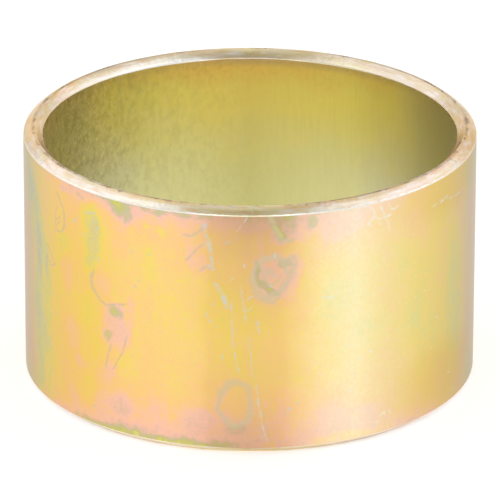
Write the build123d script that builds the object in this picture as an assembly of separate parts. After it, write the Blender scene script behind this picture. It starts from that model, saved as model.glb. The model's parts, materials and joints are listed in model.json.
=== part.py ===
from build123d import *
from math import cos, radians, tan
import os

# Reducer bushing: a plain steel sleeve cut from tube. It fills a hitch hole that was made for a
# 1 3/8 in ball shank, so that the hole takes a 1 1/4 in shank. The origin is at the middle of the
# lower end, with +Z up the bore.

# Driving dimensions, in millimetres
outside_diameter = 34.925  # 1 3/8 in, as the shank that the hole was made for
wall_thickness = 1.56  # leaves a bore just over 1 1/4 in
height = 20.0
land_width = 0.24  # the narrow flat ring left between the two bevels of each end

# Slopes of the bevels at each end, in degrees from the plane of the end
outer_bevel_angle = 37.0
inner_bevel_angle = 41.0

# Radii of the corners that tumbling has softened, in millimetres
land_rounding = 0.15
wall_rounding = 0.18

# Sizes that follow from them: the land is at mid-wall, and each bevel takes half of the rest
outer_radius = outside_diameter / 2
bore_radius = outer_radius - wall_thickness
bevel_run = (wall_thickness - land_width) / 2
land_outer_radius = outer_radius - bevel_run
land_inner_radius = bore_radius + bevel_run
outer_bevel_drop = bevel_run * tan(radians(outer_bevel_angle))
inner_bevel_drop = bevel_run * tan(radians(inner_bevel_angle))

# A corner is never rounded further than the side beside it allows
shorter_bevel = bevel_run / cos(radians(min(outer_bevel_angle, inner_bevel_angle)))
land_corner = min(land_rounding, land_width, shorter_bevel)
wall_corner = min(wall_rounding, shorter_bevel / 2)


def wall_section():
    # Half section through the wall, with the radius across and the height up. It starts at the
    # foot of the outer wall and goes round by the upper end, the bore and the lower end.
    corners = [
        (outer_radius, outer_bevel_drop, wall_corner),
        (outer_radius, height - outer_bevel_drop, wall_corner),
        (land_outer_radius, height, land_corner),
        (land_inner_radius, height, land_corner),
        (bore_radius, height - inner_bevel_drop, wall_corner),
        (bore_radius, inner_bevel_drop, wall_corner),
        (land_inner_radius, 0, land_corner),
        (land_outer_radius, 0, land_corner),
    ]
    outline = [(radius, level) for radius, level, rounding in corners]
    roundings = [rounding for radius, level, rounding in corners]
    with BuildSketch(Plane.XZ) as section:
        with BuildLine():
            FilletPolyline(*outline, radius=roundings, close=True)
        make_face()
    return section.sketch


def reducer_bushing():
    return revolve(wall_section(), Axis.Z)


bushing = reducer_bushing()
os.makedirs("parts", exist_ok=True)
export_step(bushing, "parts/reducer_bushing.step")
print("bore diameter", round(2 * bore_radius, 3), "mm")
print("volume", round(bushing.volume, 1), "mm3")
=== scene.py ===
import json
import math

import bpy
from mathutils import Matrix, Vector, noise


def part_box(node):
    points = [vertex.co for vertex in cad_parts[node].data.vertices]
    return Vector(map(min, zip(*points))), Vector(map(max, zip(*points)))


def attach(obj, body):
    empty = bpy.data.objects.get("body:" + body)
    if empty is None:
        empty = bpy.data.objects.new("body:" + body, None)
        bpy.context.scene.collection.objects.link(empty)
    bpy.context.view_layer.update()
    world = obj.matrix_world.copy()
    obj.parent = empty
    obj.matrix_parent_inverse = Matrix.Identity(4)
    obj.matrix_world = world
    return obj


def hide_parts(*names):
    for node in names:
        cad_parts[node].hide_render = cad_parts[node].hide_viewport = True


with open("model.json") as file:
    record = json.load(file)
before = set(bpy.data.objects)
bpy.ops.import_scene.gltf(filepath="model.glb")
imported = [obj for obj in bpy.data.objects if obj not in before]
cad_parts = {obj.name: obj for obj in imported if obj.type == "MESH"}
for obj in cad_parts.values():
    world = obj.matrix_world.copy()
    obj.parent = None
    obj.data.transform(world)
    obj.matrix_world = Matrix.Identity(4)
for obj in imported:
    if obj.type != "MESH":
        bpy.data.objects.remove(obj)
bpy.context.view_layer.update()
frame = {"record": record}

mm = 0.001


def linear(hexColour):
    # sRGB hex to the linear colour that a shader wants
    values = [int(hexColour[i:i + 2], 16) / 255 for i in (1, 3, 5)]
    return [v / 12.92 if v <= 0.04045 else ((v + 0.055) / 1.055) ** 2.4 for v in values] + [1.0]


def addNode(tree, kind, settings=None, inputs=None, stops=None):
    # one shader node: its settings by name, its inputs as values or sockets to link, a ramp's stops
    node = tree.nodes.new("ShaderNode" + kind)
    for name, value in (settings or {}).items():
        setattr(node, name, value)
    for name, value in (inputs or {}).items():
        if isinstance(value, bpy.types.NodeSocket):
            tree.links.new(value, node.inputs[name])
        else:
            node.inputs[name].default_value = value
    if stops:
        elements = node.color_ramp.elements
        while len(elements) < len(stops):
            elements.new(0.5)
        for element, (position, colour) in zip(elements, stops):
            element.position = position
            element.color = colour
    return node


# The sleeve's own sizes, in millimetres. The height and both radii come from the frame.
low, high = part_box("reducer_bushing")
mountRadius = {m["name"]: m["dims"].get("r_mm") for m in frame["record"]["mounts"]}
sleeve = {
    "height": (high.z - low.z) / mm,
    "outerRadius": mountRadius["outside"],
    "boreRadius": mountRadius["bore"],
    "landWidth": 0.24,
    "outerBevelAngle": 37.0,  # from the plane of the end
    "innerBevelAngle": 41.0,
    "landRounding": 0.15,
    "wallRounding": 0.18,
    "rimOnWall": 0.3,  # how much of the wall's rounding has the rim's finish
    "rimInBore": 0.8,
    "stepsRound": 960,
    "stepsOnWall": 9,
    "stepsOnBevel": 6,
    "stepsOnLand": 3,
    "stepsOnRounding": 5,
    "dentDepth": 0.018,  # how deep the tumbling has dented the rims
    "dentUpBore": 0.7,  # and how much of that goes up or down the bore
    "dentsPerMm": 1.4,
    "smallDents": 3.1,  # how many times smaller the small dents are
    "dentCover": 0.45,  # raised, the dents cover more of the rims
    "stretches": 48,  # lengths of wall round the ring, each with its own list of marks
}


def roundedOutline(corners, roundings, stepsPerSide, stepsRounding):
    # a closed outline with each corner turned into an arc, and each side divided evenly
    count = len(corners)
    arcs = []
    for i, (corner, rounding) in enumerate(zip(corners, roundings)):
        here = Vector(corner)
        back = (Vector(corners[i - 1]) - here).normalized()
        ahead = (Vector(corners[(i + 1) % count]) - here).normalized()
        halfAngle = back.angle(ahead) / 2
        centre = here + (back + ahead).normalized() * rounding / math.sin(halfAngle)
        start = here + back * rounding / math.tan(halfAngle)
        end = here + ahead * rounding / math.tan(halfAngle)
        arc = []
        for step in range(stepsRounding + 1):
            chord = start.lerp(end, step / stepsRounding) - centre
            arc.append(centre + chord.normalized() * rounding)
        arcs.append(arc)
    outline = []
    for i, arc in enumerate(arcs):
        outline += arc
        following = arcs[(i + 1) % count][0]
        steps = stepsPerSide[i]
        outline += [arc[-1].lerp(following, step / steps) for step in range(1, steps)]
    return outline


def makeSleeve(name):
    # a face's material is its stretch of wall, and the rim and the bore follow those
    s = sleeve
    rimSlot, boreSlot = s["stretches"], s["stretches"] + 1
    run = (s["outerRadius"] - s["boreRadius"] - s["landWidth"]) / 2
    outerDrop = run * math.tan(math.radians(s["outerBevelAngle"]))
    innerDrop = run * math.tan(math.radians(s["innerBevelAngle"]))
    h, outer, bore = s["height"], s["outerRadius"], s["boreRadius"]
    corners = [
        (outer, outerDrop), (outer, h - outerDrop),
        (outer - run, h), (bore + run, h),
        (bore, h - innerDrop), (bore, innerDrop),
        (bore + run, 0.0), (outer - run, 0.0),
    ]
    big, small = s["wallRounding"], s["landRounding"]
    roundings = [big, big, small, small, big, big, small, small]
    onWall, onBevel, onLand = s["stepsOnWall"], s["stepsOnBevel"], s["stepsOnLand"]
    sides = [onWall, onBevel, onLand, onBevel, onWall, onBevel, onLand, onBevel]
    outline = roundedOutline(corners, roundings, sides, s["stepsOnRounding"])
    middle = Vector(((outer + bore) / 2, h / 2))
    rimDepth = max(outerDrop, innerDrop) + big
    outerPaint, innerPaint = outerDrop + big * s["rimOnWall"], innerDrop + big * s["rimInBore"]

    vertices, faces, slots = [], [], []
    around, points = s["stepsRound"], len(outline)
    for i in range(around):
        angle = 2 * math.pi * i / around
        across = Vector((math.sin(angle), -math.cos(angle)))
        for radius, level in outline:
            if min(level, h - level) < rimDepth:
                # small dents that only ever take metal away, so the sleeve stays in its box
                spot = Vector((across.x * radius, across.y * radius, level)) * s["dentsPerMm"]
                lumps = (noise.noise(spot) + noise.noise(spot * s["smallDents"])) / 2
                dent = s["dentDepth"] * max(lumps + s["dentCover"], 0.0)
                radius += dent * max(-1.0, min(1.0, middle.x - radius))
                level += dent * s["dentUpBore"] * math.copysign(1.0, middle.y - level)
            vertices.append((across.x * radius * mm, across.y * radius * mm, level * mm))
    for i in range(around):
        here, beside = i * points, (i + 1) % around * points
        for j in range(points):
            above = (j + 1) % points
            faces.append((here + j, beside + j, beside + above, here + above))
            centre = (outline[j] + outline[above]) / 2
            outside = centre.x > middle.x
            onRim = min(centre.y, h - centre.y) < (outerPaint if outside else innerPaint)
            offRim = i * s["stretches"] // around if outside else boreSlot
            slots.append(rimSlot if onRim else offRim)
    mesh = bpy.data.meshes.new(name)
    mesh.from_pydata(vertices, [], faces)
    mesh.validate()
    mesh.update()
    mesh.polygons.foreach_set("material_index", slots)
    mesh.polygons.foreach_set("use_smooth", [True] * len(faces))
    piece = bpy.data.objects.new(name, mesh)
    bpy.context.scene.collection.objects.link(piece)
    return piece


# Yellow chromate over zinc plate, dipped and then tumbled. The film is clear and thinner than a wave
# of light, so its colour goes with its thickness. One number from 0 to 1 runs through those colours.
filmColours = [
    (0, "#d6bd9c"),  # taupe
    (0.08, "#d2c096"),
    (0.18, "#d6cd90"),  # greenish grey
    (0.27, "#e4d574"),  # yellow-green
    (0.34, "#f3d464"),  # yellow
    (0.40, "#f5ce78"),  # gold, the usual thickness
    (0.46, "#f8c87e"),  # orange gold
    (0.53, "#f8c498"),  # peach
    (0.60, "#f6c0ac"),  # pink
    (0.67, "#eabda4"),  # mauve
    (0.74, "#d2bb9c"),  # grey
    (0.82, "#c6be8c"),  # grey olive
    (0.90, "#c8c469"),  # olive
    (1, "#d8d478"),  # yellow-green again
]
# what the film's colour is multiplied by where it is seen nearly edge on
bluishEdge = (0.60, 0.64, 0.92, 1.0)
warmEdge = (0.95, 0.87, 0.76, 1.0)


def newMaterial(name):
    material = bpy.data.materials.new(name)
    material.use_nodes = True
    material.node_tree.nodes.clear()
    return material, material.node_tree


def platedMetal(tree, colour, height, finish, edgeTint):
    # zinc is a metal, so metallic is 1, the IOR stays and the film's colour is the metal's
    bump = addNode(tree, "Bump", None, {"Distance": finish["bumpDepth"] * mm, "Height": height})
    shader = addNode(tree, "BsdfPrincipled", None, {
        "Base Color": colour, "Metallic": 1.0, "Roughness": finish["roughness"],
        "Specular Tint": edgeTint, "Normal": bump.outputs[0],
    })
    addNode(tree, "OutputMaterial", None, {"Surface": shader.outputs[0]})


def arcOf(degrees):
    return math.radians(degrees) * sleeve["outerRadius"]


def placeOnRing(tree):
    # millimetres everywhere: the point itself, its arc round the outer wall from the front, and its
    # height
    coordinates = addNode(tree, "TexCoord")
    point = addNode(tree, "VectorMath", {"operation": "SCALE"}, {
        0: coordinates.outputs["Object"], "Scale": 1 / mm,
    }).outputs[0]
    axes = addNode(tree, "SeparateXYZ", None, {0: point}).outputs
    front = addNode(tree, "Math", {"operation": "MULTIPLY"}, {0: axes[1], 1: -1.0}).outputs[0]
    angle = addNode(tree, "Math", {"operation": "ARCTAN2"}, {0: axes[0], 1: front}).outputs[0]
    arc = addNode(tree, "Math", {"operation": "MULTIPLY"}, {0: angle, 1: sleeve["outerRadius"]})
    return point, arc.outputs[0], axes[2]


def turnRound(tree, arc):
    # from 0 to 1 round the ring: back, left, front, right and back again
    return addNode(tree, "MapRange", None, {
        "Value": arc, "From Min": arcOf(-180), "From Max": arcOf(180),
    }).outputs[0]


def along(tree, place, stops, start, end):
    # colours or shares that are given at stops from start to end, which place runs through from 0 to 1
    laid = []
    for at, value in stops:
        colour = linear(value) if isinstance(value, str) else (value, value, value, 1.0)
        laid.append(((at - start) / (end - start), colour))
    return addNode(tree, "ValToRGB", None, {0: place}, laid).outputs[0]


def byAngle(tree, turn, stops):
    return along(tree, turn, stops, -180, 180)


def eitherWay(stops):
    # stops by degrees from the front, repeated on the left
    return [(-angle, value) for angle, value in reversed(stops) if angle] + stops


def paintOver(tree, colour, layers):
    # lays colours over the first one in turn, each a hex or a socket, with its share
    for share, over in layers:
        colour = addNode(tree, "Mix", {"data_type": "RGBA"}, {
            0: share, 6: colour, 7: linear(over) if isinstance(over, str) else over,
        }).outputs[2]
    return colour


def fading(tree, place, full, none, amount):
    # amount as far as full, nothing past none, and a smooth change between the two
    return addNode(tree, "MapRange", {"interpolation_type": "SMOOTHSTEP"}, {
        "Value": place, "From Min": full, "From Max": none, "To Min": amount, "To Max": 0.0,
    }).outputs[0]


def rising(tree, value, start, full, least, most):
    # a share that goes from least to most while the value goes from start to full
    return addNode(tree, "MapRange", None, {
        "Value": value, "From Min": start, "From Max": full, "To Min": least, "To Max": most,
    }).outputs[0]


def grain(tree, point, size, stretch=(1, 1, 1), detail=2.0):
    # noise whose lumps are about size millimetres across: output 0 is one number from 0 to 1, and
    # output 1 is three of them
    squeezed = addNode(tree, "VectorMath", {"operation": "DIVIDE"}, {0: point, 1: stretch})
    return addNode(tree, "TexNoise", None, {
        "Vector": squeezed.outputs[0], "Scale": 1 / size, "Detail": detail,
    }).outputs


def uneven(tree, lumps, middle, reach):
    # a number that strays from middle by up to reach either way, as the lumps do
    return addNode(tree, "MapRange", {"clamp": False}, {
        "Value": lumps[0], "To Min": middle - reach, "To Max": middle + reach,
    }).outputs[0]


def specks(tree, point, spacing, full, none, share):
    # round specks, one to each cell of the spacing
    cells = addNode(tree, "TexVoronoi", None, {"Vector": point, "Scale": 1 / spacing})
    return fading(tree, cells.outputs["Distance"], full, none, share)


def nudged(tree, place, point, size, reach):
    # moves a place on the ring, at most by reach either way, so that drawn shapes get ragged edges
    moved = addNode(tree, "VectorMath", {"operation": "MULTIPLY_ADD"}, {
        0: grain(tree, point, size)[1], 1: (reach * 2, reach * 2, 0), 2: place,
    })
    return addNode(tree, "VectorMath", {"operation": "SUBTRACT"}, {
        0: moved.outputs[0], 1: (reach, reach, 0),
    }).outputs[0]


def farFrom(tree, place, angle, height, halfAngle, halfHeight, turn):
    # how far a point is from the middle of an oval, where 1 is the oval's edge
    local = addNode(tree, "Mapping", {"vector_type": "TEXTURE"}, {
        "Vector": place, "Location": (arcOf(angle), height, 0),
        "Rotation": (0, 0, math.radians(turn)), "Scale": (arcOf(halfAngle), halfHeight, 1),
    }).outputs[0]
    return addNode(tree, "VectorMath", {"operation": "LENGTH"}, {0: local}).outputs["Value"]


def nearer(tree, first, second):
    # the smaller of two distances, or the second where there is no first
    if first is None:
        return second
    return addNode(tree, "Math", {"operation": "MINIMUM"}, {0: first, 1: second}).outputs[0]


def farFromStrokes(tree, place, strokes):
    # how far a point is from the nearest of thin strokes, where 1 is a stroke's edge. A stroke is a
    # half width in mm and some (angle, height) points, and a slim oval runs from each to the next.
    nearest = None
    for halfWidth, *points in strokes:
        for start, end in zip(points, points[1:]):
            across, up = arcOf(end[0] - start[0]), end[1] - start[1]
            halfLength = math.hypot(across, up) / 2
            local = addNode(tree, "Mapping", {"vector_type": "TEXTURE"}, {
                "Vector": place,
                "Location": (arcOf(start[0] + end[0]) / 2, (start[1] + end[1]) / 2, 0),
                "Rotation": (0, 0, math.atan2(up, across)), "Scale": (halfLength + halfWidth, halfWidth, 1),
            })
            far = addNode(tree, "VectorMath", {"operation": "LENGTH"}, {0: local.outputs[0]})
            nearest = nearer(tree, nearest, far.outputs["Value"])
    return nearest


# What shows on the outer wall. Angles are degrees from the front, positive to the right, and heights
# and half widths are millimetres. A change of thickness moves the film along filmColours. An Edge is
# where a mark is full and where it ends, as shares of its own half width.
wallFinish = {
    "thickness": 0.4,
    "roughness": 0.33,
    "bumpDepth": -0.004,  # mm, below the surface
    # how the edges of blots stray, and then those of lines and scratches: the size of the ragging and
    # its reach in mm
    "ragged": (1.6, 0.55),
    "frayed": (0.5, 0.13),
    # thicker film towards both ends, where the dip ran off: (height, thickness added)
    "nearEnds": [
        (0.4, 0.58), (0.75, 0.5), (1.1, 0.27), (1.7, 0.18), (2.6, 0.14), (4, 0.07), (6, 0), (14, 0),
        (16.5, 0.04), (18, 0.1), (18.9, 0.18), (19.4, 0.32), (19.7, 0.42),
    ],
    # how strongly that shows: (angle, share)
    "nearEndsShare": [
        (-180, 0.5), (-110, 0.4), (-85, 0), (-68, 0), (-62, 0.25), (-52, 0.5), (-38, 1), (-4, 0.9),
        (8, 0.8), (16, 0.62), (30, 0.62), (40, 0.5), (50, 0.35), (60, 0.1), (68, 0), (85, 0), (110, 0.4),
        (180, 0.5),
    ],
    # near the ends it is also mottled: the size of the mottling in mm, and how far it takes the film
    # either way, as a share of the thickness added there
    "mottling": (0.7, 0.6),
    # clouds and streaks all over: (size in mm, stretch, thickness added either way)
    "clouds": [
        (3.2, (1, 1, 1.6), 0.1), (0.5, (1, 1, 10), 0.04), (0.9, (1, 1, 1.2), 0.06), (0.26, (1, 1, 1), 0.1),
    ],
    # painted sheen, a pale highlight laid over the film on the right: (angle, share of the pale colour)
    "paintedSheen": [
        (-180, 0.08), (-80, 0.06), (-66, 0), (-58, 0), (-30, 0.04), (-14, 0.06), (-9, 0), (8, 0.02),
        (13, 0.16), (19, 0.36), (27, 0.56), (34, 0.36), (46, 0.12), (58, 0), (66, 0), (80, 0.06),
        (110, 0.08), (180, 0.08),
    ],
    "paintedSheenColour": "#fdf8dc",
    "paintedSheenMottling": (0.32, 0.35),  # its size in mm, and how far it takes the painted sheen either way
    # film of a richer gold: (angle, height, half angle, half height, turn, share of the richer colour)
    "richer": [(-49, 9, 17, 13, 0, 0.36), (61, 18.8, 26, 3.2, 0, 0.58), (57, 3.4, 20, 3.4, 0, 0.6)],
    "richerColour": "#eac038",
    "richerEdge": (0.3, 1.15),
    # painted shade: the film is greyed towards the sides, where the metal mirrors a darker room: (angle,
    # share of the greyer colour)
    "paintedSideShade": [
        (-180, 0.2), (-88, 0.1), (-75, 0.28), (-64, 0.15), (-54, 0.06), (-30, 0.03), (28, 0.03), (36, 0.16),
        (46, 0.22), (56, 0.32), (64, 0.35), (75, 0.36), (88, 0.1), (180, 0.2),
    ],
    "paintedSideShadeColour": "#b8b48a",
    # a duller strip runs up the front of the tube, most of all near its ends: (angle, share of the
    # dull colour), and (height, how much of that share)
    "dullStrip": [
        (-180, 0), (-21, 0), (-16, 0.15), (-12, 0.32), (-10, 0.66), (-4, 0.9), (0, 1), (4, 0.92), (8, 0.75),
        (12, 0.35), (17, 0.08), (21, 0), (180, 0),
    ],
    "dullByHeight": [
        (0, 0.5), (2, 0.45), (4, 0.33), (6.5, 0.28), (9.5, 0.22), (12.5, 0.3), (15.5, 0.4), (17.5, 0.52),
        (19, 0.68),
    ],
    "dullColour": "#ac8b5e",
    # broad blots: (angle, height, half angle, half height, turn, thickness added)
    "blots": [
        (-61.5, 6, 2.8, 7.5, 2, -0.12), (-67, 7, 4.2, 7.5, 2, -0.15), (-65.6, 14.2, 2.9, 6, 22, -0.15),
        (-71.5, 15.2, 3.6, 6.5, 22, -0.13), (-78, 17.6, 9, 2.4, 0, -0.06), (-76, 1.3, 9, 1.6, 0, -0.07),
        (-57.2, 7.5, 1.3, 8, 0, -0.05), (-54, 14.5, 3.2, 1, 8, -0.1), (-52, 12.1, 3.2, 1.7, 12, 0.11),
        (-49.8, 7.2, 2.6, 2.1, 12, 0.13), (-47.2, 5.2, 2.4, 0.5, -18, 0.12),
        (-49.5, 1.9, 2.4, 1.3, 14, 0.08), (-42.8, 14.9, 3, 2.6, -6, -0.12), (-43, 15.8, 4.4, 3.2, 0, -0.08),
        (-43.5, 17.6, 4.6, 1.3, 0, -0.1), (-45.3, 9.9, 3.2, 1.8, 0, -0.06), (-44, 3.5, 2.8, 1.7, 0, -0.08),
        (-42, 6.4, 1.5, 2, 0, -0.05), (-52.5, 4.5, 3, 2.4, 0, 0.06), (-34, 16.3, 3.6, 1.9, 0, 0.06),
        (-39.5, 12.3, 3.4, 1.4, 0, 0.11), (-35.4, 9.1, 5, 2.3, 24, 0.24), (-35, 10.62, 3.6, 0.5, 13, 0.17),
        (-34.8, 10.3, 2.4, 0.5, 0, 0.12), (-38.3, 8.2, 1.9, 0.75, 25, 0.24),
        (-36.8, 6.2, 2.4, 1.6, 0, 0.06), (-23.8, 11.2, 0.8, 1.9, 0, -0.05),
        (-24.4, 14.2, 0.7, 1.7, 0, -0.05), (-53.8, 18.85, 3, 0.3, 6, 0.14),
        (-47.4, 18.9, 2, 0.3, -22, 0.14), (-30.6, 10.6, 1.5, 1.8, 0, 0.12),
        (-33.6, 2.9, 3.8, 1.2, 10, 0.12), (-31, 1.2, 6, 0.6, 0, 0.1), (-38, 5.2, 3.2, 1, 0, 0.05),
        (-35.2, 19, 3.2, 1, -4, 0.17), (-31.6, 18.3, 1.6, 1.2, 0, 0.14), (-33, 18.6, 3.4, 0.9, -20, 0.1),
        (-25.5, 15.7, 2, 0.7, 20, -0.05), (-22, 17.7, 1.3, 0.35, 0, -0.14), (-26.4, 17.8, 1, 0.3, 0, -0.12),
        (-13, 15.8, 3, 1.4, 30, 0.09), (-12.5, 2.7, 5, 1.2, 0, 0.06), (-3.8, 4.3, 7, 2.4, 0, 0.02),
        (-20, 19.2, 8, 0.4, 0, 0.08), (0.5, 18.9, 9, 0.8, 0, 0.06), (-20, 2.6, 11, 1.8, 0, 0.03),
        (4.9, 14.6, 4.2, 1.7, -20, 0.05), (6.4, 14.3, 6.4, 2.6, -10, 0.08), (9.6, 13.6, 2.8, 1.6, 0, 0.08),
        (8.7, 18.6, 3.3, 1.5, -30, 0.2), (13, 18.3, 3.2, 1.2, 0, 0.12), (15.2, 18.9, 1.7, 0.8, 0, 0.16),
        (11.5, 15.3, 2.2, 1.4, 0, 0.1), (2.6, 4.6, 3, 1.6, 0, 0.03), (-3, 2.1, 3.2, 0.6, 0, 0.16),
        (23, 18.4, 8, 1.8, 0, 0.11), (25, 11, 13, 6, 0, -0.08), (33, 9.5, 6, 2.5, 0, -0.05),
        (43, 11, 7, 6, 0, -0.06), (52, 8.5, 8, 6.5, 0, -0.07), (63, 8, 6, 9, 0, -0.11),
        (50, 18.2, 14, 3.4, 0, -0.02), (77, 18, 9, 2.6, 0, -0.1), (41, 15, 3, 2, 0, -0.05),
        (62, 3, 9, 2.2, -10, 0.05), (47, 3.6, 8, 2, 0, -0.02), (78, 1.6, 7, 2, 0, -0.12),
        (25, 2.2, 14, 1.7, 0, 0.09), (27, 18.6, 7, 1.2, 0, 0.03), (12, 8, 3, 3, 0, -0.04),
        (25, 0.5, 16, 0.8, 0, -0.26), (56, 3.4, 6, 2.2, 0, 0.05), (3, 0.5, 11, 0.6, 0, -0.24),
        (46, 17, 6, 1.6, 0, 0.05), (1.8, 15.1, 1, 1.2, 0, 0.24), (3.5, 13.8, 3.2, 0.42, -43, 0.25),
        (6.1, 13.3, 1.9, 0.42, 0, 0.22), (8.9, 15.6, 2.4, 0.4, -5, 0.22), (6.9, 18.3, 3.3, 0.26, -50, 0.27),
        (15.6, 18.9, 1.6, 0.6, 0, 0.08),
        # and round the back, where they are guessed
        (102, 6, 7, 6, 0, -0.08), (120, 13, 9, 3.4, 20, 0.08), (136, 4, 11, 2.4, -10, 0.08),
        (152, 16.6, 12, 2.2, 6, 0.1), (166, 8, 6, 6, 0, -0.09), (-170, 14, 8, 3.4, -25, 0.07),
        (-152, 3, 12, 2.2, 8, 0.09), (-138, 12, 6, 6.5, 5, -0.09), (-120, 6.5, 8, 3.4, -20, 0.08),
    ],
    "blotEdge": (0.45, 1.15),
    "blotReach": 1.4,  # half angles from its middle that a blot's edge may get to
    # stains with a line round them: (half width, (angle, height), ...)
    "stainLines": [
        (0.19, (-42.6, 13.1), (-43.4, 12.4), (-42.8, 11.8)),
        (0.14, (-42.8, 11.8), (-41.6, 11.4), (-40.2, 10.95)), (0.1, (-40.2, 10.95), (-38.4, 10.7)),
        (0.09, (-38.4, 10.7), (-35, 11), (-32, 11.2)), (0.08, (-36.7, 7.6), (-37.8, 6.8), (-38.6, 5.5)),
        (0.07, (-32.1, 8.6), (-33.1, 7.3), (-35, 6.3), (-36.2, 5.65)),
        (0.12, (-56.5, 18.2), (-55.3, 17.7), (-53.8, 17.1), (-53.3, 16), (-54.3, 15.3)),
        (0.1, (-54.3, 15.3), (-55.6, 15.1), (-57.4, 15.1)), (0.06, (-57.3, 15.9), (-55.4, 16.4)),
        (0.06, (-57, 15.5), (-55.4, 16)), (0.05, (-56.6, 17.2), (-57.6, 16.2), (-57.4, 15.2)),
        (0.07, (-61.9, 13.5), (-60.1, 12.85), (-58, 12.25), (-58.9, 11.95), (-60.2, 11.95), (-61.5, 12.7)),
        (0.1, (-58.2, 12.3), (-57.6, 12.2)), (0.22, (2.6, 13.3), (4.4, 12.6), (6, 12.5), (7.6, 13.2)),
        (0.3, (11.4, 15.7), (9.4, 14.3), (6.6, 12.9)),
        (0.22, (4.9, 19.4), (5.9, 18.8), (6.8, 18), (7.8, 17.5), (9, 17.4), (10.4, 17.5)),
        (0.11, (-16, 17.7), (-14.4, 17.65), (-12.8, 18), (-11.2, 18.5)),
        (0.1, (-15.6, 15.7), (-14.4, 16.2), (-12.8, 16.7), (-11.4, 17.1)),
        (0.12, (-12, 15), (-10.6, 15.3), (-9.6, 15.2)), (0.12, (-5.8, 17.3), (-4.8, 17.4)),
        (0.13, (2.9, 15.6), (3.1, 14.7), (5, 13.85), (6.4, 14.1), (7.6, 14.6)),
        (0.17, (0.8, 14.8), (1.8, 13.7), (3.6, 13), (5.6, 12.7)),
        (0.26, (7.8, 15.7), (9.6, 15.9), (11, 16.1)),
        (0.12, (1.6, 15.6), (3.2, 16.2), (5.2, 16.15), (6.6, 16.4)), (0.3, (4.4, 15), (5.4, 14.8)),
    ],
    # dried rings: (angle, height, half angle, half height, turn, the line's half width as a share)
    "rings": [(-3.4, 4.2, 3.9, 1.8, 0, 0.16), (4.8, 14.5, 4.3, 1.75, -20, 0.14)],
    "stainColour": "#c6bb96",
    "stainShare": 0.6,
    "stainEdge": (0.3, 1.6),
    "stainThickness": 0.06,  # added beside a stain's line
    "stainThicknessEdge": (0.4, 2.4),
    # pale scratches down to the zinc, in the form of the stains' lines
    "scratches": [
        (0.2, (-11, 18.7), (-11.4, 18.4)), (0.16, (-11.2, 18.3), (-10.8, 18), (-10.5, 17.5)),
        (0.24, (-10.4, 17.5), (-9.9, 17)), (0.16, (-9.8, 17), (-9.6, 16.4), (-9.3, 15.75), (-9.3, 15.3)),
        (0.16, (-9.9, 15.3), (-8.9, 15.15)), (0.05, (-0.2, 19.5), (-1.6, 18.95), (-3.8, 18)),
        (0.09, (-30.5, 15.95), (-30.5, 15.3)), (0.1, (-61.2, 5.5), (-61, 4.9)),
        (0.22, (-8.5, 13.85), (-7.5, 13.4), (-6.6, 13.1), (-6.1, 12.6), (-5.6, 12.15)),
        (0.09, (-4.5, 12.5), (-4.5, 11.6), (-4.3, 10.6), (-4.2, 9.6), (-3.8, 8.6), (-3.3, 7.7), (-2.6, 6.8)),
        (0.08, (-2.1, 13.9), (-2, 13.2), (-1.6, 12.4), (-1.1, 11.8), (-0.9, 10.9)),
        (0.07, (-1.5, 11.8), (-0.4, 11.9), (0.4, 12.1)), (0.07, (-0.8, 12.7), (0.2, 13), (1, 13)),
        (0.1, (1.9, 10.95), (2.2, 10.6), (2.5, 10)),
        (0.08, (0, 9.8), (0, 8.9), (0.4, 8), (0.6, 7), (1.2, 6.2)),
        (0.09, (1.7, 5.9), (2, 4.9), (2.6, 3.8), (3, 2.8), (3.7, 1.9), (4.7, 1)),
        (0.07, (1.6, 2.2), (2.7, 1.7), (3.6, 1.4)), (0.08, (-6.7, 8.2), (-6.6, 7.7)),
        (0.1, (6.4, 16.5), (6, 16.1)), (0.1, (4.9, 13.9), (5.4, 13.75)),
        (0.09, (-45.2, 17.65), (-43.6, 17.8), (-41.6, 17.9)), (0.12, (-42.8, 17.3), (-42.5, 17.1)),
        (0.09, (-41.5, 16.6), (-40.3, 16.7)), (0.1, (-49.6, 16.5), (-48.8, 16.8), (-48, 17.1)),
        (0.12, (-46.2, 15.75), (-45.8, 15.9)), (0.09, (-40.8, 14.4), (-40.6, 14)),
        (0.1, (-42.8, 2.1), (-42.4, 1.95)), (0.09, (-58.4, 8.3), (-57.6, 8.2)),
        (0.11, (32.4, 18.5), (33.4, 18.15), (35, 18.15), (37.6, 18.2)),
        (0.11, (34.2, 19.2), (34.9, 18.6), (35.4, 18.2), (36.2, 17.75), (36.9, 17.3), (37.1, 17)),
        (0.1, (32.4, 18.5), (32.2, 19), (30.8, 19.3), (29.2, 19.35)),
        (0.1, (32.3, 18.45), (31.6, 18.1), (30.6, 17.95)), (0.14, (30.5, 18), (30.8, 17.85)),
        (0.1, (36.9, 19.1), (37.3, 18.65), (38.4, 18.6), (39.6, 18.7)), (0.11, (34, 17.75), (34.4, 17.7)),
        (0.08, (33, 1.5), (34.8, 1.4)), (0.08, (34.4, 1.9), (35.4, 2), (36, 2.2), (36.2, 1.9)),
        (0.08, (37.4, 2.2), (38.2, 1.85)), (0.08, (37.6, 1.6), (38.2, 1.1)), (0.08, (37, 1.1), (37.3, 0.8)),
        (0.09, (52.4, 17.6), (54, 17.6)), (0.12, (55.6, 17.6), (57.4, 17.65), (59.6, 17.75)),
        (0.08, (60, 17.5), (63, 17.3), (67, 17.3)), (0.12, (18.4, 12.6), (19.4, 12.6), (21, 12.4)),
        (0.13, (25.9, 4.6), (26.4, 4.45)), (0.12, (11.9, 4.2), (12.2, 4.15)),
        (0.11, (9.6, 3.7), (10.2, 3.7)), (0.1, (31.4, 7.6), (32.4, 7.3)), (0.08, (24.6, 8.4), (26.4, 8.2)),
        (0.1, (28.2, 7.1), (28.8, 7.05)), (0.1, (-9.2, 12.3), (-8.8, 12.3)),
        (0.1, (-10.9, 11.6), (-10.7, 11.3)), (0.09, (-9.7, 11), (-9.4, 10.9)),
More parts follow.
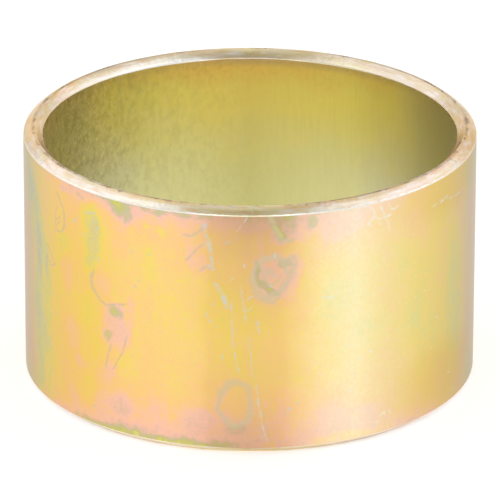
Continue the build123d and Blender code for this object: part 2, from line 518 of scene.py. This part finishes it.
        (0.09, (-8.2, 10.5), (-8, 10.4)), (0.09, (-28.6, 13.5), (-28.5, 13.3)),
        (0.09, (-29.5, 12.9), (-29.3, 12.8)), (0.09, (-25.9, 15.8), (-25.2, 15.7)),
        (0.08, (-1.4, 15.6), (-1.2, 15.3)), (0.08, (-4.8, 14.3), (-4, 14.5)),
        (0.09, (54, 8.4), (55.4, 8.1)), (0.09, (60.8, 3), (61.8, 2.9)),
        (0.1, (122, 16), (124, 14.6), (124.6, 12.8)), (0.08, (141, 9), (142.4, 6.4), (142, 3.6)),
        (0.12, (160, 12.4), (162.4, 11.6)), (0.09, (-168, 10.5), (-167, 8), (-164.8, 5.6)),
        (0.08, (-148, 17.4), (-145, 16.9)), (0.1, (-131, 4.2), (-129.6, 6.4)),
        (0.09, (-110, 11.4), (-107.6, 10.2)),
    ],
    "scratchEdge": (0.3, 1.3),
    # the zinc looks paler on the right, where the light is full on it: (angle, colour)
    "scratchColour": [
        (-180, "#c8c9bc"), (12, "#c8c9bc"), (19, "#e8e6d6"), (48, "#eeead6"), (60, "#d6d2c0"),
        (180, "#c8c9bc"),
    ],
    # the beads that a scratch breaks into: their size in mm, where the grain's lumps start and are
    # full, and the least and greatest share of the zinc
    "scratchBeads": (0.45, 0.4, 0.55, 0.25, 0.85),
    # specks: their spacing in mm, where they are full and where they end as shares of it, and how
    # much zinc they show
    "specks": (0.95, 0.05, 0.1, 0.42),
    "raggedReach": 2.0,  # degrees that a mark's ragged edge may run past its drawn place
}


def reaches(angles, middle):
    # true if a mark that spans these angles shows on the stretch of wall with this middle
    half = 180 / sleeve["stretches"] + wallFinish["raggedReach"]
    return min(angles) < middle + half and max(angles) > middle - half


def marksAt(middle):
    # what of the wall's marks shows on the stretch of wall with this middle
    reach = wallFinish["blotReach"]
    ovals = [
        [o for o in wallFinish[kind] if reaches((o[0] - o[2] * reach, o[0] + o[2] * reach), middle)]
        for kind in ("blots", "richer", "rings")
    ]
    strokes = []
    for kind in ("stainLines", "scratches"):
        short = []
        for halfWidth, *points in wallFinish[kind]:
            for pair in zip(points, points[1:]):
                if reaches((pair[0][0], pair[1][0]), middle):
                    short.append((halfWidth, *pair))
        strokes.append(short)
    return *ovals, *strokes


def outerWallMaterial(blots, richer, rings, stainLines, scratchLines):
    finish = wallFinish
    material, tree = newMaterial("yellowChromateOnDrawnTube")
    point, arc, height = placeOnRing(tree)
    place = addNode(tree, "CombineXYZ", None, {0: arc, 1: height}).outputs[0]
    ragged, frayed = [nudged(tree, place, point, *finish[kind]) for kind in ("ragged", "frayed")]
    raggedAxes = addNode(tree, "SeparateXYZ", None, {0: ragged}).outputs
    turn = turnRound(tree, raggedAxes[0])
    tall = sleeve["height"]
    level = addNode(tree, "Math", {"operation": "DIVIDE"}, {0: raggedAxes[1], 1: tall}).outputs[0]

    # the film's thickness: the usual one, more near the ends, then clouds, blots and stains
    size, reach = finish["mottling"]
    mottled = uneven(tree, grain(tree, point, size), 1, reach)
    atEnds = addNode(tree, "Math", {"operation": "MULTIPLY"}, {
        0: along(tree, level, finish["nearEnds"], 0, tall), 1: byAngle(tree, turn, finish["nearEndsShare"]),
    })
    thickness = addNode(tree, "Math", {"operation": "MULTIPLY_ADD"}, {
        0: atEnds.outputs[0], 1: mottled, 2: finish["thickness"],
    }).outputs[0]
    for size, stretch, amount in finish["clouds"]:
        change = uneven(tree, grain(tree, point, size, stretch), 0, amount)
        thickness = addNode(tree, "Math", {"operation": "ADD"}, {0: thickness, 1: change}).outputs[0]
    for *oval, amount in blots:
        change = fading(tree, farFrom(tree, ragged, *oval), *finish["blotEdge"], amount)
        thickness = addNode(tree, "Math", {"operation": "ADD"}, {0: thickness, 1: change}).outputs[0]
    offLine = farFromStrokes(tree, frayed, stainLines)
    for *oval, band in rings:
        far = farFrom(tree, ragged, *oval)
        off = addNode(tree, "Math", {"operation": "SUBTRACT"}, {0: far, 1: 1.0}).outputs[0]
        off = addNode(tree, "Math", {"operation": "ABSOLUTE"}, {0: off}).outputs[0]
        off = addNode(tree, "Math", {"operation": "DIVIDE"}, {0: off, 1: band}).outputs[0]
        offLine = nearer(tree, offLine, off)
    if offLine:
        change = fading(tree, offLine, *finish["stainThicknessEdge"], finish["stainThickness"])
        thickness = addNode(tree, "Math", {"operation": "ADD"}, {0: thickness, 1: change}).outputs[0]
    colour = along(tree, thickness, filmColours, 0, 1)

    # what lies over the film: richer gold, painted sheen, painted shade towards the sides, the dull strip
    # and the stains' lines
    size, reach = finish["paintedSheenMottling"]
    patchy = uneven(tree, grain(tree, point, size), 1, reach)
    dull, paintedSheen = [
        addNode(tree, "Math", {"operation": "MULTIPLY"}, {0: first, 1: second}).outputs[0]
        for first, second in (
            (byAngle(tree, turn, finish["dullStrip"]), along(tree, level, finish["dullByHeight"], 0, tall)),
            (byAngle(tree, turn, finish["paintedSheen"]), patchy),
        )
    ]
    layers = [
        (fading(tree, farFrom(tree, ragged, *oval), *finish["richerEdge"], share), finish["richerColour"])
        for *oval, share in richer
    ]
    # painted sheen on the right, then painted shade towards the sides, then the dull strip
    layers += [
        (paintedSheen, finish["paintedSheenColour"]), (byAngle(tree, turn, finish["paintedSideShade"]), finish["paintedSideShadeColour"]),
        (dull, finish["dullColour"]),
    ]
    if offLine:
        line = fading(tree, offLine, *finish["stainEdge"], finish["stainShare"])
        layers.append((line, finish["stainColour"]))
    colour = paintOver(tree, colour, layers)

    # scratches and specks go through the film to the grey zinc
    bare = specks(tree, point, *finish["specks"])
    far = farFromStrokes(tree, frayed, scratchLines)
    if far:
        size, *levels = finish["scratchBeads"]
        beads = rising(tree, grain(tree, point, size)[0], *levels)
        scratches = fading(tree, far, *finish["scratchEdge"], beads)
        bare = addNode(tree, "Math", {"operation": "MAXIMUM"}, {0: scratches, 1: bare}).outputs[0]
    colour = paintOver(tree, colour, [(bare, byAngle(tree, turn, finish["scratchColour"]))])
    platedMetal(tree, colour, bare, finish, bluishEdge)
    return material


def wallMaterials():
    # the renderer can hold about 80 ovals in one material, so every stretch of the wall has its own
    # material, with only the marks that reach it
    materials = []
    for stretch in range(sleeve["stretches"]):
        middle = (stretch + 0.5) * 360 / sleeve["stretches"]
        materials.append(outerWallMaterial(*marksAt(middle - 360 if middle > 180 else middle)))
    return materials


# The rims: the same film, thin and rubbed by tumbling, so it is pale, with a warmer band beside the
# crest. The crest is worn grey-brown in places, and a painted highlight whitens the outer edge.
rimFinish = {
    "roughness": 0.27,
    "bumpDepth": 0.005,
    "relief": (0.25, (5, 5, 1)),  # fine lines round the ring: their size in mm, and how drawn out
    "frayed": (0.35, 0.1),  # how the edges of nicks stray, and the worn bright edges too
    # away from the crest: (angle, colour). Partly the pale film and partly painted reflection: the palest
    # stops, near -30 and 20 degrees, are where the bevels mirror the soft boxes
    "pale": [
        (-180, "#c4b692"), (-168, "#d8ccb2"), (-155, "#f2eadc"), (-140, "#ded3c4"), (-115, "#dfd2c2"),
        (-97, "#e8cca0"), (-82, "#e6ceac"), (-70, "#e4d6c6"), (-50, "#e8ddd0"), (-30, "#f8f0e0"),
        (-20, "#f8eed2"), (-12, "#e6dab0"), (0, "#c9bc8c"), (12, "#e2d6ac"), (20, "#f6ecd8"),
        (30, "#f0e2d3"), (50, "#e7d6ca"), (62, "#e5cfbd"), (72, "#e8ccb0"), (82, "#d8b88a"),
        (97, "#e4caa2"), (115, "#dacebc"), (140, "#dcd0c2"), (155, "#eee2c6"), (168, "#d8caa4"),
        (180, "#c4b692"),
    ],
    # beside the crest
    "warm": [
        (-180, "#ffeebe"), (-165, "#ebd3ae"), (-150, "#c2b296"), (-135, "#bcac98"), (-115, "#d8ba8e"),
        (-98, "#e4c79e"), (-84, "#fcd6a2"), (-70, "#ecd2b2"), (-50, "#dcccb8"), (-27, "#e0c89a"),
        (-12, "#f4dcae"), (0, "#ffeeba"), (10, "#f4d8ac"), (20, "#dcb784"), (30, "#c5aa7c"),
        (42, "#d5bca0"), (60, "#dac0a8"), (72, "#eec79e"), (86, "#e7bf8a"), (100, "#e6cfac"),
        (125, "#d6c2a8"), (140, "#d4c4b0"), (155, "#d8c5a4"), (165, "#eedab5"), (180, "#ffeebe"),
    ],
    "warmReach": (0.18, 0.5),  # mm from the crest, where the warmer band starts to fade and where it ends
    # streaks of other film colours along the rim: (colour, greatest share, width and length in mm)
    "streaks": [("#dba070", 0.55, 0.2, 1.8), ("#f4f2fa", 0.55, 0.24, 1.4), ("#c8c060", 0.45, 0.3, 3)],
    "streakLevels": (0.46, 0.8),  # where the grain's lumps start to show and where they are full
    "streakRise": 0.3,  # how much a difference in height counts beside one across the rim
    "paintedEdgeHighlightColour": "#fbf8f0",
    # painted highlight: how far the outer edge is painted near-white: (degrees from the front, share)
    "paintedEdgeHighlight": [(0, 0.1), (4, 0.25), (8, 0.7), (12, 0.95), (42, 1), (60, 0.6), (85, 0.2), (180, 0.2)],
    "paintedEdgeHighlightWidth": (0.04, 0.1),  # mm from the wall, where it is full and where it ends
    "lowerEndShare": 0.35,  # how much of that the lower end has
    # and a painted highlight on the inner edge at the back, with painted shade that dulls it right at the
    # middle: (angle, share), (angle, colour)
    "innerEdgeHighlightAndShade": [
        (-180, 0.6), (-172, 0.5), (-168, 0.4), (-165, 1), (-146, 1), (-138, 0.6), (-122, 0.2), (-112, 0),
        (125, 0), (140, 0.3), (150, 0.7), (164, 0.7), (169, 0.3), (173, 0.5), (180, 0.6),
    ],
    "innerEdgeHighlightAndShadeColour": [
        (-180, "#b8a488"), (-171, "#b8a488"), (-167, "#fdfaf2"), (166, "#f6eacc"), (171, "#b8a488"),
        (180, "#b8a488"),
    ],
    "innerEdgeHighlightAndShadeWidth": (0.08, 0.34),
    "wornColour": "#94826f",
    # the patches that the wear breaks into: their size in mm, where the grain's lumps start and are
    # full, and the least and greatest share of the worn colour
    "wornPatches": (0.45, 0.36, 0.56, 0.25, 0.95),
    "torn": (0.28, 0.22),  # how the edges of the wear stray
    "wornEdge": (0.3, 1.6),
    # worn stretches of the crest: (half width in mm, from angle, to angle)
    "worn": [
        (0.1, -98.5, -96.5), (0.09, -94.5, -92), (0.12, -88.5, -86), (0.1, -84, -82.5),
        (0.13, -77.5, -74.5), (0.12, -69, -67), (0.08, -64, -62.5), (0.14, -61, -57.5), (0.1, -55.5, -54),
        (0.08, -52.5, -51.5), (0.07, -47, -44), (0.11, -42, -38.5), (0.11, -36, -34), (0.09, -31, -30),
        (0.1, -28, -20), (0.08, -19, -14), (0.12, -12.8, -11.6), (0.07, -10, -4), (0.08, 1, 3.5),
        (0.11, 9, 11), (0.1, 13, 28), (0.1, 29, 41), (0.09, 43, 46), (0.11, 49.5, 53), (0.11, 57.5, 60),
        (0.11, 64, 66), (0.09, 69.5, 71), (0.09, 79.5, 81), (0.1, 83, 88), (0.08, 106, 109),
        (0.09, 115, 118), (0.09, 119.5, 125), (0.06, 133, 136), (0.06, 150, 158), (0.06, 172, 180),
        (0.07, -140, -134), (0.06, -165, -158), (0.08, -122, -117), (0.08, -110, -106),
    ],
    # and scars that run off it: (half width in mm, (angle, mm outwards from the crest), ...)
    "scars": [(0.19, (91, 0.04), (97, 0.14), (103, 0.29)), (0.15, (77, -0.22), (78.4, -0.26))],
    # nicks that show the grey zinc, in the same form
    "nicks": [
        (0.1, (63.5, 0.2), (65.5, 0.45)), (0.12, (62.5, 0.62), (67.5, 0.6)),
        (0.08, (66.5, 0.15), (67, 0.5)), (0.1, (-101.5, -0.3), (-99.5, -0.45)),
        (0.09, (101.5, -0.35), (103.5, -0.25)), (0.07, (-66.2, 0.25), (-66, 0.7)),
        (0.08, (-78.4, 0.3), (-77, 0.55)), (0.06, (-70.6, 0.2), (-70.2, 0.7)),
        (0.025, (0.6, 0.1), (0.6, 0.78)), (0.07, (-5.2, 0.14), (-3.4, 0.12)),
        (0.06, (76, 0.25), (79, 0.15)), (0.07, (84, 0.2), (88, 0.12)),
    ],
    "nickColour": "#dcdad0",
    "nickShare": 0.7,
    "nickEdge": (0.5, 1.5),
}


def rimMaterial():
    finish = rimFinish
    material, tree = newMaterial("yellowChromateOnTumbledRim")
    point, arc, height = placeOnRing(tree)
    turn = turnRound(tree, arc)
    flat = addNode(tree, "VectorMath", {"operation": "MULTIPLY"}, {0: point, 1: (1, 1, 0)})
    radius = addNode(tree, "VectorMath", {"operation": "LENGTH"}, {0: flat.outputs[0]})
    crest = (sleeve["outerRadius"] + sleeve["boreRadius"]) / 2
    offCrest = addNode(tree, "Math", {"operation": "SUBTRACT"}, {
        0: radius.outputs["Value"], 1: crest,
    }).outputs[0]
    place = addNode(tree, "CombineXYZ", None, {0: arc, 1: offCrest}).outputs[0]
    frayed, torn = [nudged(tree, place, point, *finish[kind]) for kind in ("frayed", "torn")]
    outwards = addNode(tree, "SeparateXYZ", None, {0: frayed}).outputs[1]
    aside = addNode(tree, "Math", {"operation": "ABSOLUTE"}, {0: outwards}).outputs[0]
    pale, warm = [byAngle(tree, turn, finish[kind]) for kind in ("pale", "warm")]
    colour = paintOver(tree, pale, [(fading(tree, aside, *finish["warmReach"], 1.0), warm)])

    # streaks follow the ring, so their noise is drawn out round it and not across the rim
    across = addNode(tree, "CombineXYZ", None, {2: offCrest}).outputs[0]
    ring = addNode(tree, "VectorMath", {"operation": "MULTIPLY_ADD"}, {
        0: point, 1: (1, 1, finish["streakRise"]), 2: across,
    }).outputs[0]
    for hexColour, share, width, length in finish["streaks"]:
        lumps = grain(tree, ring, width, (length / width, length / width, 1))
        streak = rising(tree, lumps[0], *finish["streakLevels"], 0, share)
        colour = paintOver(tree, colour, [(streak, hexColour)])

    # both edges get a painted highlight, the inner one with painted shade at the middle of the back, and the
    # crest and its scars are worn in ragged patches
    halfWall = (sleeve["outerRadius"] - sleeve["boreRadius"]) / 2
    full, none = finish["paintedEdgeHighlightWidth"]
    share = byAngle(tree, turn, eitherWay(finish["paintedEdgeHighlight"]))
    bright = addNode(tree, "Math", {"operation": "MULTIPLY"}, {
        0: fading(tree, outwards, halfWall - full, halfWall - none, share),
        1: rising(tree, height, 0, sleeve["height"], finish["lowerEndShare"], 1),
    }).outputs[0]
    full, none = finish["innerEdgeHighlightAndShadeWidth"]
    share = byAngle(tree, turn, finish["innerEdgeHighlightAndShade"])
    inner = fading(tree, outwards, full - halfWall, none - halfWall, share)
    size, *levels = finish["wornPatches"]
    patchy = rising(tree, grain(tree, point, size)[0], *levels)
    strokes = [(halfWidth, (start, 0), (end, 0)) for halfWidth, start, end in finish["worn"]]
    far = farFromStrokes(tree, torn, strokes + finish["scars"])
    worn = fading(tree, far, *finish["wornEdge"], patchy)
    far = farFromStrokes(tree, frayed, finish["nicks"])
    nicks = fading(tree, far, *finish["nickEdge"], finish["nickShare"])
    colour = paintOver(tree, colour, [
        (bright, finish["paintedEdgeHighlightColour"]), (inner, byAngle(tree, turn, finish["innerEdgeHighlightAndShadeColour"])),
        (nicks, finish["nickColour"]), (worn, finish["wornColour"]),
    ])
    platedMetal(tree, colour, grain(tree, ring, *finish["relief"])[0], finish, warmEdge)
    return material


# The bore: greener film than outside, and warmer near the top at the back. The drawn tube's faint
# streaks run up it, and on the left it is mottled, with bright pits.
boreFinish = {
    "roughness": 0.36,
    "bumpDepth": -0.012,
    # in the lower part and near the top: (degrees from the front, either way, and colour)
    "low": [
        (0, "#f6f2c8"), (100, "#e6e4c4"), (122, "#d4d2cc"), (148, "#eeeab0"), (162, "#e6e2a4"),
        (180, "#d6d190"),
    ],
    "top": [
        (0, "#f8f0c8"), (100, "#f2eed0"), (123, "#e0d6a8"), (135, "#f6e686"), (150, "#ffee84"),
        (180, "#ebd678"),
    ],
    "lowHeights": (9, 17),  # mm up, where the lower colours start to fade and where they end
    "wavy": (4, 2.5),  # how those heights stray: the size of the waves and their reach in mm
    # a band of orange gold just under the rim: (angle, share)
    "warmBand": [(-180, 0.55), (-150, 0.55), (-125, 0.15), (100, 0), (134, 0.2), (150, 0.5), (180, 0.55)],
    "warmBandColour": "#fcc06c",
    "warmBandFrom": 16.6,
    # and a painted shade line right under the rim, darkest at the back: (angle, share), and where it is full
    # and where it ends
    "paintedLipShade": [
        (-180, 0.5), (-165, 0.25), (-150, 0.12), (-130, 0.2), (-110, 0.1), (118, 0.05), (132, 0.25),
        (180, 0.5),
    ],
    "paintedLipShadeColour": "#b09a90",
    "paintedLipShadeHeights": (19.25, 18.6),
    # painted shade: the sides are greyed, most of all the right, where the bore mirrors a darker room:
    # (angle, share)
    "paintedSideShade": [
        (-180, 0), (-138, 0), (-128, 0.1), (-112, 0.18), (-98, 0.06), (-60, 0), (60, 0), (96, 0.4),
        (106, 0.38), (115, 0.3), (125, 0.12), (136, 0), (180, 0),
    ],
    "paintedSideShadeColour": "#8298b0",
    # Grains: the size in mm, the stretch and the detail. Levels: where the grain's lumps start to show
    # and where they are full, and the least and greatest share of the colour.
    "streaks": (0.22, (1, 1, 14)),
    "streakLevels": (0.42, 0.75, 0, 0.11),
    "streakColour": "#cfc07a",
    "streakRelief": -0.1,  # beside the pits, which have 1
    "mottling": (0.5, (1, 1, 1.4), 4),
    "mottleLevels": (0.42, 0.72, 0, 0.5),
    "mottleColour": "#9f965c",
    "pits": (0.26, (1, 1, 1.2), 3),
    "pitLevels": (0.54, 0.82, 0, 0.95),
    "pitColour": "#fff4c4",
    "specks": (0.9, 0.04, 0.1, 1),  # sparse and bright, in the form of the wall's
    # brown that mottles the band of orange gold, as much as the band shows
    "fringe": (0.38, (1, 1, 1), 3),
    "fringeLevels": (0.48, 0.85, 0, 0.6),
    "fringeColour": "#b0803e",
    # where the mottling and the pits lie: (angle, share)
    "mottled": [
        (-180, 0.1), (-165, 0.25), (-150, 0.35), (-138, 0.65), (-122, 1), (-100, 1), (-60, 0.3), (0, 0.1),
        (120, 0.05), (180, 0.08),
    ],
}


def boreMaterial():
    finish = boreFinish
    material, tree = newMaterial("yellowChromateInDrawnBore")
    point, arc, height = placeOnRing(tree)
    turn = turnRound(tree, arc)
    size, reach = finish["wavy"]
    wavy = uneven(tree, grain(tree, point, size), 0, reach)
    level = addNode(tree, "Math", {"operation": "ADD"}, {0: height, 1: wavy}).outputs[0]
    low, top = [byAngle(tree, turn, eitherWay(finish[kind])) for kind in ("low", "top")]
    colour = paintOver(tree, top, [(fading(tree, level, *finish["lowHeights"], 1.0), low)])

    mottled, paintedSideShade, bandShare, paintedLipShadeShare = [
        byAngle(tree, turn, finish[kind]) for kind in ("mottled", "paintedSideShade", "warmBand", "paintedLipShade")
    ]
    streaks, mottling, flakes, browned = [
        grain(tree, point, *finish[kind])[0] for kind in ("streaks", "mottling", "pits", "fringe")
    ]
    band = fading(tree, level, sleeve["height"], finish["warmBandFrom"], bandShare)
    bright = addNode(tree, "Math", {"operation": "MAXIMUM"}, {
        0: rising(tree, flakes, *finish["pitLevels"]), 1: specks(tree, point, *finish["specks"]),
    }).outputs[0]
    mottle, pits, fringe = [
        addNode(tree, "Math", {"operation": "MULTIPLY"}, {0: first, 1: second}).outputs[0]
        for first, second in (
            (rising(tree, mottling, *finish["mottleLevels"]), mottled), (bright, mottled),
            (rising(tree, browned, *finish["fringeLevels"]), band),
        )
    ]
    # painted shade just under the rim
    paintedLipShade = fading(tree, height, *finish["paintedLipShadeHeights"], paintedLipShadeShare)
    # the painted shade at the sides and the painted shade line under the rim are among these layers
    colour = paintOver(tree, colour, [
        (paintedSideShade, finish["paintedSideShadeColour"]), (band, finish["warmBandColour"]), (fringe, finish["fringeColour"]),
        (paintedLipShade, finish["paintedLipShadeColour"]), (rising(tree, streaks, *finish["streakLevels"]), finish["streakColour"]),
        (mottle, finish["mottleColour"]), (pits, finish["pitColour"]),
    ])
    relief = addNode(tree, "Math", {"operation": "MULTIPLY_ADD"}, {
        0: streaks, 1: finish["streakRelief"], 2: pits,
    }).outputs[0]
    platedMetal(tree, colour, relief, finish, warmEdge)
    return material


finishes = wallMaterials() + [rimMaterial(), boreMaterial()]
bushing = makeSleeve("reducer_bushing_plated")
for material in finishes:
    bushing.data.materials.append(material)
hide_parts("reducer_bushing")
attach(bushing, "root")
print("sleeve:", len(bushing.data.polygons), "faces,", len(finishes), "materials")

# The camera stands where the photograph was taken from: a long lens, looking down a little.
view = {
    "aim": (0.0, 0.0, 10.0),  # mm
    "distance": 490.25,  # mm
    "lookDown": 22.44,  # degrees
    "roll": 0.15,  # degrees
    "focal": 454.94,  # mm
    "sensor": 36.0,  # mm
    "shift": (0.00064, -0.01068),  # shares of the picture's side
    "clip": (0.01, 10.0),  # metres
}


def makeCamera():
    down = math.radians(view["lookDown"])
    toCamera = Vector((0.0, -math.cos(down), math.sin(down)))
    data = bpy.data.cameras.new("camera")
    data.sensor_width = view["sensor"]
    data.lens = view["focal"]
    data.shift_x, data.shift_y = view["shift"]
    data.clip_start, data.clip_end = view["clip"]
    camera = bpy.data.objects.new("camera", data)
    bpy.context.scene.collection.objects.link(camera)
    camera.location = (Vector(view["aim"]) + toCamera * view["distance"]) * mm
    camera.rotation_euler = toCamera.to_track_quat("Z", "Y").to_euler()
    camera.rotation_euler.rotate_axis("Z", math.radians(view["roll"]))
    bpy.context.scene.camera = camera


makeCamera()

# Soft boxes, as directions from the sleeve, with sizes in millimetres. Radiance 1 is white.
lamps = {
    "leftBox": {"toward": (-0.58, 0.25, 0.69), "away": 600.0, "size": 520.0, "radiance": 0.5},
    "rightBox": {"toward": (0.58, 0.25, 0.69), "away": 600.0, "size": 520.0, "radiance": 0.5},
    "frontBox": {"toward": (0.0, -0.77, 0.64), "away": 600.0, "size": 480.0, "radiance": 0.8},
}


def makeLamp(name, lamp):
    data = bpy.data.lights.new(name, "AREA")
    side = lamp["size"] * mm
    data.shape = "SQUARE"
    data.size = side
    data.energy = lamp["radiance"] * math.pi * side * side
    light = bpy.data.objects.new(name, data)
    bpy.context.scene.collection.objects.link(light)
    toward = Vector(lamp["toward"]).normalized()
    light.location = toward * lamp["away"] * mm
    light.rotation_euler = toward.to_track_quat("Z", "Y").to_euler()
    light.visible_camera = False


for lampName, lamp in lamps.items():
    makeLamp(lampName, lamp)

# The floor and the room are white to the camera and in reflections, with the sleeve's shadow kept
room = {
    "floorSide": 4000.0,  # mm
    "paint": "#dcdcdc",
    "glow": 0.52,
    "worldLight": 0.62,
    # overhead the room that shows in the metal is darker: its strength there, and how far up a
    # direction points where that starts and where it is full
    "overhead": 0.68,
    "overheadRise": (0.1, 0.9),
}


def seenDirectly(tree):
    # 1 for what the camera sees and for what shows in the metal, 0 for the rest
    path = addNode(tree, "LightPath").outputs
    seen = path["Is Camera Ray"]
    for kind in ("Is Glossy Ray", "Is Transmission Ray"):
        seen = addNode(tree, "Math", {"operation": "MAXIMUM"}, {0: seen, 1: path[kind]}).outputs[0]
    return seen


def makeFloor():
    half = room["floorSide"] / 2 * mm
    mesh = bpy.data.meshes.new("floor")
    corners = [(-half, -half, 0), (half, -half, 0), (half, half, 0), (-half, half, 0)]
    mesh.from_pydata(corners, [], [(0, 1, 2, 3)])
    piece = bpy.data.objects.new("floor", mesh)
    bpy.context.scene.collection.objects.link(piece)
    material, tree = newMaterial("paleTable")
    seen = seenDirectly(tree)
    glow = addNode(tree, "Math", {"operation": "MULTIPLY"}, {0: seen, 1: room["glow"]})
    paint = addNode(tree, "BsdfDiffuse", None, {"Color": linear(room["paint"])})
    light = addNode(tree, "Emission", None, {
        "Color": linear("#ffffff"), "Strength": glow.outputs[0],
    })
    both = addNode(tree, "AddShader", None, {0: paint.outputs[0], 1: light.outputs[0]})
    addNode(tree, "OutputMaterial", None, {"Surface": both.outputs[0]})
    mesh.materials.append(material)


def makeWorld():
    world = bpy.data.worlds.new("softRoom")
    world.use_nodes = True
    tree = world.node_tree
    tree.nodes.clear()
    direction = addNode(tree, "TexCoord")
    axes = addNode(tree, "SeparateXYZ", None, {0: direction.outputs["Generated"]})
    shown = rising(tree, axes.outputs[2], *room["overheadRise"], 1, room["overhead"])
    plain, white = [
        addNode(tree, "Background", None, {"Color": linear("#ffffff"), "Strength": strength})
        for strength in (room["worldLight"], shown)
    ]
    mix = addNode(tree, "MixShader", None, {
        0: seenDirectly(tree), 1: plain.outputs[0], 2: white.outputs[0],
    })
    addNode(tree, "OutputWorld", None, {"Surface": mix.outputs[0]})
    bpy.context.scene.world = world


makeFloor()
makeWorld()
bpy.context.scene.view_settings.view_transform = "Standard"
print("camera, lamps, floor and world set")

bpy.context.view_layer.update()
